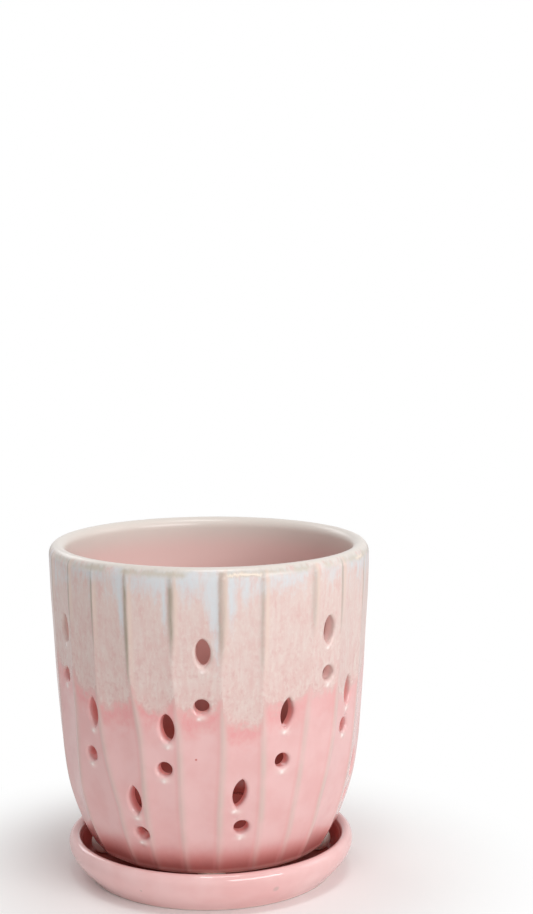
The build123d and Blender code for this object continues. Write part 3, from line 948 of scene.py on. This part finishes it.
def upperGlaze(tree, guide):
    # Mottled, and pinker towards the border
    values, side = potGlaze, guide.ridgeSide
    reach = values["upwardReach"]
    mottle = calc(tree, "ADD", product(tree, guide.patchy, 0.4), product(tree, guide.streaks, 0.6))
    mottle = calc(tree, "ADD", mottle, remap(tree, guide.border, 0.0, reach, -0.04, 0.06))
    high = blendColors(tree, fade(tree, mottle, 0.3, 0.66), values["palePink"], values["pale"])
    speckPower = remap(tree, guide.border, 4.0, reach, 0.34, 0.08)
    specks = product(tree, fade(tree, guide.specks, 0.5, 0.7), speckPower)
    cream = product(tree, fade(tree, guide.dashes, 0.46, 0.7), values["creamPower"])
    milky = milkShare(tree, guide)
    # On the ridges a thin olive line, where the glaze runs off, and a painted highlight in peach on its
    # right, the side the light falls on
    clearOfMilk = remap(tree, milky, 0.3, 0.9, 1.0, 0.35)
    peachHighlight = product(tree, band(tree, guide.ridgeGap, *values["peachHighlightBand"]), fade(tree, side, 0.0, 0.3),
                    guide.ridgeLine, values["peachHighlightPower"], clearOfMilk)
    lineWidth = product(tree, guide.lineWidth, remap(tree, guide.ridgeLine, 0.0, 0.8, 0.6, 1.15))
    line = product(tree, bell(tree, guide.ridgeGap, lineWidth), guide.linePower,
                   fade(tree, guide.ridgeLine, 0.0, 0.7), remap(tree, guide.streaks, 0.35, 0.6, 0.65, 1.0),
                   comesIn(tree, guide, "ridgeHigh"), clearOfMilk)
    return layered(tree, high, (specks, values["speckPink"]), (cream, values["cream"]),
                   (product(tree, milky, values["milkPower"]), values["milk"]),
                   (peachHighlight, values["peachHighlight"]), (line, values["ridgeHigh"]))


def glazeVents(tree, guide, glaze):
    # Under the vents the glaze gathers in a pale bead, its paleness partly painted highlight, with a painted
    # glint on it, and inside them it is rose, painted lighter and redder for the light in the bores
    values, side, below = potGlaze, guide.ventSide, guide.ventBelow
    # Pale glaze bead under the vent, partly painted highlight
    bead = underVentSpot(tree, guide, "bead", side, below)
    # Painted light: the bores' rose is lighter and redder than the glaze, for light and bounced light inside
    # them
    boreColor = blendColors(tree, comesIn(tree, guide, "boreHigh"), values["boreLow"], values["boreHigh"])
    nearVent = fade(tree, guide.ventGap, *values["boreFade"])
    bore = product(tree, fade(tree, guide.inward, 0.15, 0.6), nearVent)
    # Painted highlight: a small white glint on the bead, left of the middle
    swayDown, swayAcross = values["glintSways"]
    glintSide = sway(tree, guide.clouds, swayAcross, calc(tree, "ADD", side, values["glintShift"]))
    paintedGlint = underVentSpot(tree, guide, "glintSpot", glintSide, sway(tree, guide.patchy, swayDown, below))
    return layered(tree, glaze, (product(tree, bead, values["beadPower"]), values["underVent"]),
                   (bore, boreColor), (product(tree, paintedGlint, values["glintPower"]), values["paintedGlint"]))


def pinholeShare(tree, guide):
    azimuth, height = potGlaze["pinhole"]
    share = (height - pot["footHeight"]) / potHeight
    place = drawToForm(np.array([azimuth]), np.array([share]), np.zeros(1))[0]
    radius = potGlaze["pinholeRadius"] * mm
    return fade(tree, vectorCalc(tree, "DISTANCE", guide.place, place), radius, radius / 2)


def glazeInside(tree, guide, glaze):
    # Cream at the lip, then deeper and deeper rose, painted shade deep inside the pot
    inside = potGlaze["lip"]
    for name in ("insideTop", "insideMiddle", "insideLowShade", "insideFloorShade"):
        inside = blendColors(tree, comesIn(tree, guide, name), inside, potGlaze[name])
    innerLip = product(tree, fade(tree, guide.inward, 0.5, 0.62), comesIn(tree, guide, "innerLip"))
    within = calc(tree, "MAXIMUM", fade(tree, guide.inward, 0.9, 0.99), innerLip)
    return blendColors(tree, within, glaze, inside)


def glazeLip(tree, guide, glaze):
    # Cream on the crest, with broken olive patches and cream beads just under it
    values = potGlaze
    crest = fade(tree, guide.lipHeight, *values["heights"]["lip"])
    patches = product(tree, band(tree, guide.lipHeight, *values["lipLineBand"]),
                      fade(tree, guide.clouds, 0.4, 0.58), guide.outerHalf, values["lipLinePower"])
    return layered(tree, glaze, (crest, values["lip"]), (patches, values["lipLine"]),
                   (guide.lipBead, values["lipBead"]))


def makePotGlaze():
    material, tree, shader = newMaterial("potGlaze", IOR=1.5)
    values, guide = potGlaze, potGuides(tree)
    glaze = blendColors(tree, guide.upper, lowerGlaze(tree, guide), upperGlaze(tree, guide))
    glaze = glazeVents(tree, guide, glaze)
    # A pinhole in the glaze, in the deep rose of the painted foot shade
    glaze = blendColors(tree, pinholeShare(tree, guide), glaze, values["footShadeRose"])
    glaze = glazeLip(tree, guide, glazeInside(tree, guide, glaze))
    tree.links.new(glaze, shader.inputs["Base Color"])
    # Glossy below and in the drops, satin above, and dry on the foot ring
    rough = calc(tree, "SUBTRACT", remap(tree, guide.upper, 0.0, 1.0, *values["roughness"]),
                 product(tree, guide.drop, values["dropShine"]))
    rough = calc(tree, "MULTIPLY_ADD", guide.bare, values["bareRoughness"], rough)
    tree.links.new(rough, shader.inputs["Roughness"])
    skin = useGroup(tree, glazeSkin, Vector=guide.place, Wave_Height=values["waveHeight"],
                    Grain_Height=remap(tree, guide.upper, 0.0, 1.0, *values["grainHeights"]))["Height"]
    ribs = product(tree, band(tree, guide.ridgeGap, *values["rib"]), guide.outside,
                   remap(tree, guide.ridgeLine, 0.0, 1.0, *values["ribHeights"]))
    beads = calc(tree, "ADD", product(tree, guide.drop, values["dropHeight"]),
                 product(tree, guide.lipBead, values["lipBeadHeight"]))
    giveRelief(tree, shader, calc(tree, "MULTIPLY_ADD", calc(tree, "ADD", ribs, beads), mm, skin))
    return material


potPiece = makePot(makePotGlaze())
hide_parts("pot")
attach(potPiece, "pot")


# Turned pieces

def turn(name, path, segments, material, centre=(0, 0)):
    # A closed turned solid from its section in millimetres, from the axis round to the axis
    path = np.array(path)
    angles = np.linspace(0, 2 * math.pi, segments, endpoint=False)
    ringPoints = path[1:-1]
    vertices = [(0, 0, path[0][1])]
    for radius, height in ringPoints:
        vertices += [(radius * math.cos(a), radius * math.sin(a), height) for a in angles]
    vertices.append((0, 0, path[-1][1]))
    last = len(vertices) - 1
    top = 1 + (len(ringPoints) - 1) * segments
    faces = []
    for column in range(segments):
        beside = (column + 1) % segments
        faces.append((0, 1 + beside, 1 + column))
        for low in range(1, top, segments):
            high = low + segments
            faces.append((low + column, low + beside, high + beside, high + column))
        faces.append((last, top + column, top + beside))
    placed = [Vector(v) * mm + Vector((centre[0], centre[1], 0)) for v in vertices]
    return addPiece(name, placed, faces, material)


def arc(centre, radii, start, end, steps):
    angles = np.radians(np.linspace(start, end, steps))
    return [(centre[0] + radii[0] * math.cos(a), centre[1] + radii[1] * math.sin(a)) for a in angles]


# Saucer: all lengths in millimetres

saucer = {
    "baseRadius": 61.8,
    "radius": 72.0,
    "height": 20.6,
    "widestHeight": 16.2,
    "leanShare": 0.72,  # how far the wall leans out at its foot, as a share of the widest height
    "lipWall": 6.0,
    "floor": 7.0,
    # The rounding between wall and floor: how far outside the base's radius, and how far above the floor
    "innerCorner": ((0.75, 2.0), (0.1, 0.85), (-0.75, 0.22), (-1.8, 0.0)),
    "flatRadii": (20.0, 46.0),  # where the flat underside and the flat floor have a ring of points
    "ringWidth": 12.0,
    "ringDepth": 1.2,
    "ringBevel": 0.3,
    "ringDraft": 0.2,
    "edgeRound": 0.8,
    "segments": 192,
    "glaze": tone(238, 197, 195),
    "glazeDeep": tone(232, 182, 180),
    # Painted shade: dark rose in the dish, between the pot's foot and the saucer's wall
    "dishShadeRose": tone(190, 84, 78),
    "dishFloorShade": tone(206, 116, 110),
    "speckGrey": tone(196, 170, 164),
    "glazeThin": tone(214, 190, 183),
    "noise": {"Cloud_Size": 26.0, "Streak_Size": 5.0, "Streak_Length": 9.0},
    "thinReach": (0.6, 1.2),  # how high the thin glaze at the base reaches, and how much streaks add
    # The dish's painted shade begins at this distance from the axis, and the wall leans out by dishLean above
    # it
    "dishFade": (65.0, 64.0),
    "dishLean": 0.33,
    "dishTop": (19.4, 15.0),
    "dishUnderside": (4.0, 6.0),
    "dishFloorFade": (10.5, 7.5),
    "dishRoughness": 0.4,
    "roughness": (0.04, 0.07),
    "skin": {"Wave_Size": 18.0, "Wave_Height": 0.02, "Grain_Height": 0.0005},
    "specks": ((-28.6, 10.4, 0.9), (25.8, 11.0, 2.2)),  # firing specks: degrees round, height and size
    "speckPower": 0.6,
}


def outerWall():
    # From the base edge up to the widest place, as radius and height
    reach, lean = saucer["widestHeight"], saucer["leanShare"]
    startPoint = np.array((saucer["baseRadius"], saucer["edgeRound"]))
    endPoint = np.array((saucer["radius"], reach))
    startPull, endPull = np.array((reach * lean, reach * lean)), np.array((0.0, reach))
    wall = []
    for t in np.linspace(0, 1, 14):
        lower = (1 + 2 * t) * (1 - t) ** 2 * startPoint + t * (1 - t) ** 2 * startPull
        wall.append(lower + t ** 2 * (3 - 2 * t) * endPoint - t ** 2 * (1 - t) * endPull)
    return wall


def saucerPath():
    # From the axis under the base, round the ring, up the wall and over the lip to the dish's floor
    base, edge, floor, widest = (saucer[key] for key in ("baseRadius", "edgeRound", "floor", "widestHeight"))
    half = saucer["lipWall"] / 2
    middle, top = saucer["radius"] - half, saucer["height"]
    ring, depth, draft = base - saucer["ringWidth"], saucer["ringDepth"], saucer["ringDraft"]
    flatUnder, flatFloor = saucer["flatRadii"]
    recess = [(0, depth), (flatUnder, depth), (ring - 1, depth), (ring, depth - saucer["ringBevel"])]
    ringEdge = [(ring + draft, draft), (ring + 3 * draft, 0)]
    corner = arc((base - edge, edge), (edge, edge), -90, -10, 5)
    outerLip = arc((middle, widest), (half, top - widest), 8, 90, 8)
    innerLip = arc((middle, top - half), (half, half), 100, 180, 8)
    innerWall = [(base + out, floor + up) for out, up in saucer["innerCorner"]]
    dish = [(flatFloor, floor), (flatUnder, floor), (0, floor)]
    return recess + ringEdge + corner + outerWall() + outerLip + innerLip + innerWall + dish


def spotOnWall(azimuth, height):
    # A place on the outer wall
    radii, heights = zip(*outerWall())
    radius = np.interp(height, heights, radii)
    angle = math.radians(azimuth)
    return radius * math.sin(angle) * mm, -radius * math.cos(angle) * mm, height * mm


def dishShare(tree, place, z):
    # 1 in the dish, within the lip and above the underside
    flat = vectorCalc(tree, "MULTIPLY", place, (1, 1, 0))
    reach = calc(tree, "MULTIPLY", vectorCalc(tree, "LENGTH", flat), 1 / mm)
    above = calc(tree, "SUBTRACT", z, saucer["floor"])
    leaning = calc(tree, "MULTIPLY_ADD", above, -saucer["dishLean"], reach)
    return product(tree, fade(tree, leaning, *saucer["dishFade"]), fade(tree, z, *saucer["dishTop"]),
                   fade(tree, z, *saucer["dishUnderside"]))


def makeSaucerGlaze():
    material, tree, shader = newMaterial("saucerGlaze", IOR=1.5)
    place = objectPlace(tree)
    z = heightOf(tree, place)
    clouds, streaks = useGroup(tree, glazeTone, Vector=place, **saucer["noise"])
    low, added = saucer["thinReach"]
    thin = fade(tree, z, calc(tree, "MULTIPLY_ADD", streaks, added, low), 0.2)
    dish = dishShare(tree, place, z)
    onFloor = fade(tree, z, *saucer["dishFloorFade"])
    # Painted shade: deep rose in the dish round and under the pot
    dishShadeColor = blendColors(tree, onFloor, saucer["dishShadeRose"], saucer["dishFloorShade"])
    glaze = blendColors(tree, fade(tree, clouds, 0.35, 0.7), saucer["glaze"], saucer["glazeDeep"])
    glaze = layered(tree, glaze, (thin, saucer["glazeThin"]), (dish, dishShadeColor))
    for azimuth, height, size in saucer["specks"]:
        far = vectorCalc(tree, "DISTANCE", place, spotOnWall(azimuth, height))
        share = product(tree, fade(tree, far, size * mm, size * mm / 3), saucer["speckPower"])
        glaze = blendColors(tree, share, glaze, saucer["speckGrey"])
    tree.links.new(glaze, shader.inputs["Base Color"])
    shine = remap(tree, clouds, 0.3, 0.7, *saucer["roughness"])
    rough = calc(tree, "MULTIPLY_ADD", dish, saucer["dishRoughness"], shine)
    tree.links.new(rough, shader.inputs["Roughness"])
    giveRelief(tree, shader, useGroup(tree, glazeSkin, Vector=place, **saucer["skin"])["Height"])
    return material


saucerPiece = turn("saucerDish", saucerPath(), saucer["segments"], makeSaucerGlaze())
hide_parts("saucer")
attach(saucerPiece, "saucer")
print("saucer turned")


# Bumpers: soft clear pads under the pot's foot

bumper = {
    "flatShare": 0.56,  # the flat ends, as a share of the widest radius
    "innerFlatShare": 0.6,
    "bulge": 0.6,  # how far in from the flat ends' edge the round side has its centre, in millimetres
    "sideAngle": 84,
    "segments": 40,
    "color": tone(255, 243, 234),
    "roughness": (0.42, 0.56),
    "clearness": 0.08,
    "glow": 0.6,  # light spreading inside the soft rubber
    "glowDepth": 4.0,
    "glowReach": (1.0, 0.9, 0.85),  # of red, green and blue light
    "skin": {"Wave_Size": 3.0, "Wave_Height": 0.02},
}


def makeBumperRubber():
    material, tree, shader = newMaterial("bumperRubber", IOR=1.41, Transmission_Weight=bumper["clearness"],
                                         Base_Color=bumper["color"], Subsurface_Weight=bumper["glow"],
                                         Subsurface_Radius=bumper["glowReach"],
                                         Subsurface_Scale=bumper["glowDepth"] * mm)
    place = objectPlace(tree)
    dust = useGroup(tree, glazeTone, Vector=place, Cloud_Size=2.5)["Clouds"]
    tree.links.new(remap(tree, dust, 0.3, 0.7, *bumper["roughness"]), shader.inputs["Roughness"])
    giveRelief(tree, shader, useGroup(tree, glazeSkin, Vector=place, **bumper["skin"])["Height"])
    return material


def makeBumpers():
    material = makeBumperRubber()
    for node in sorted(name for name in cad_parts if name.startswith("bumper")):
        low, high = (Vector(corner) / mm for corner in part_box(node))
        widest, middle, half = (high.x - low.x) / 2, (low.z + high.z) / 2, (high.z - low.z) / 2
        flat = widest * bumper["flatShare"]
        innerFlat = flat * bumper["innerFlatShare"]
        sideCentre = flat - bumper["bulge"]
        angle = bumper["sideAngle"]
        side = arc((sideCentre, middle), (widest - sideCentre, half), -angle, angle, 15)
        path = [(0, low.z), (innerFlat, low.z)] + side + [(innerFlat, high.z), (0, high.z)]
        centre = Vector((low.x + high.x, low.y + high.y, 0)) / 2 * mm
        pad = turn(node.replace("bumper_", "bumperPad."), path, bumper["segments"], material, centre)
        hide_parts(node)
        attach(pad, "saucer")
    print("bumpers made")


makeBumpers()


# Stage: pale floor that turns white away from the pot, soft light, and the camera

stage = {
    "floorRadius": 4.0,
    "floorColor": tone(246, 245, 244),
    "whiteFade": (0.076, 0.18),  # metres from the pot's axis, where the floor turns white
    "worldStrength": 0.455,
    "lights": {
        # place, width, height, power
        "keyRight": ((0.93, -1.3, 0.62), 1.3, 0.34, 12.4),
        "sideRight": ((1.45, 0.1, 0.7), 0.7, 0.7, 2.5),
        "overhead": ((0.1, -0.35, 1.35), 0.5, 0.2, 4.0),
        "backRim": ((-0.7, 1.0, 0.9), 0.6, 0.6, 3.0),
    },
    "lightsAim": (0, 0, 0.09),
}


def rays(tree, first, *others):
    # 1 for a ray of any of these kinds
    path = addNode(tree, "ShaderNodeLightPath").outputs
    seen = path[first]
    for kind in others:
        seen = calc(tree, "MAXIMUM", seen, path[kind])
    return seen


def makeFloor():
    steps = np.linspace(0, 2 * math.pi, 96, endpoint=False)
    rim = [(stage["floorRadius"] * math.cos(a), stage["floorRadius"] * math.sin(a), 0) for a in steps]
    floor = addPiece("floor", rim, [tuple(range(len(rim)))])
    material, tree, shader = newMaterial("paleFloor", Roughness=0.9, Base_Color=stage["floorColor"],
                                         Specular_IOR_Level=0.0)
    seen = rays(tree, "Is Camera Ray", "Is Transmission Ray")
    white = addNode(tree, "ShaderNodeEmission", {"Color": (1, 1, 1, 1), "Strength": 1.0}).outputs[0]
    far = vectorCalc(tree, "LENGTH", objectPlace(tree))
    share = product(tree, fade(tree, far, *stage["whiteFade"]), seen)
    mixed = addNode(tree, "ShaderNodeMixShader", {0: share, 1: shader.outputs[0], 2: white})
    tree.links.new(mixed.outputs[0], tree.nodes["Material Output"].inputs["Surface"])
    floor.data.materials.append(material)


def makeWorld():
    world = bpy.data.worlds.new("studio")
    bpy.context.scene.world = world
    world.use_nodes = True
    tree = world.node_tree
    seen = rays(tree, "Is Camera Ray", "Is Glossy Ray", "Is Transmission Ray")
    strength = remap(tree, seen, 0.0, 1.0, stage["worldStrength"], 1.0)
    tree.nodes["Background"].inputs["Color"].default_value = (1, 1, 1, 1)
    tree.links.new(strength, tree.nodes["Background"].inputs["Strength"])


def makeLights():
    for name, (place, width, height, power) in stage["lights"].items():
        light = bpy.data.lights.new(name, "AREA")
        light.shape, light.size, light.size_y, light.energy = "RECTANGLE", width, height, power
        lamp = bpy.data.objects.new(name, light)
        lamp.location = place
        lamp.rotation_euler = (Vector(stage["lightsAim"]) - Vector(place)).to_track_quat("-Z", "Y").to_euler()
        bpy.context.scene.collection.objects.link(lamp)


camera = {
    "place": (0.0, -0.8518, 0.3125),
    "right": 1.94,  # degrees that it looks right of the pot
    "down": 6.84,
    "roll": -0.18,
    "lens": 67.88,
    "sensor": 36.0,
    "clip": (0.01, 20),
}


def makeCamera():
    lens = bpy.data.cameras.new("camera")
    lens.lens, lens.sensor_width = camera["lens"], camera["sensor"]
    lens.clip_start, lens.clip_end = camera["clip"]
    piece = bpy.data.objects.new("camera", lens)
    aim = Matrix.Rotation(math.radians(-camera["right"]), 4, "Z")
    aim = aim @ Matrix.Rotation(math.radians(90 - camera["down"]), 4, "X")
    aim = aim @ Matrix.Rotation(math.radians(camera["roll"]), 4, "Z")
    piece.matrix_world = Matrix.Translation(camera["place"]) @ aim
    bpy.context.scene.collection.objects.link(piece)
    bpy.context.scene.camera = piece


makeFloor()
makeWorld()
makeLights()
makeCamera()
bpy.context.scene.view_settings.view_transform = "Standard"
print("stage set")
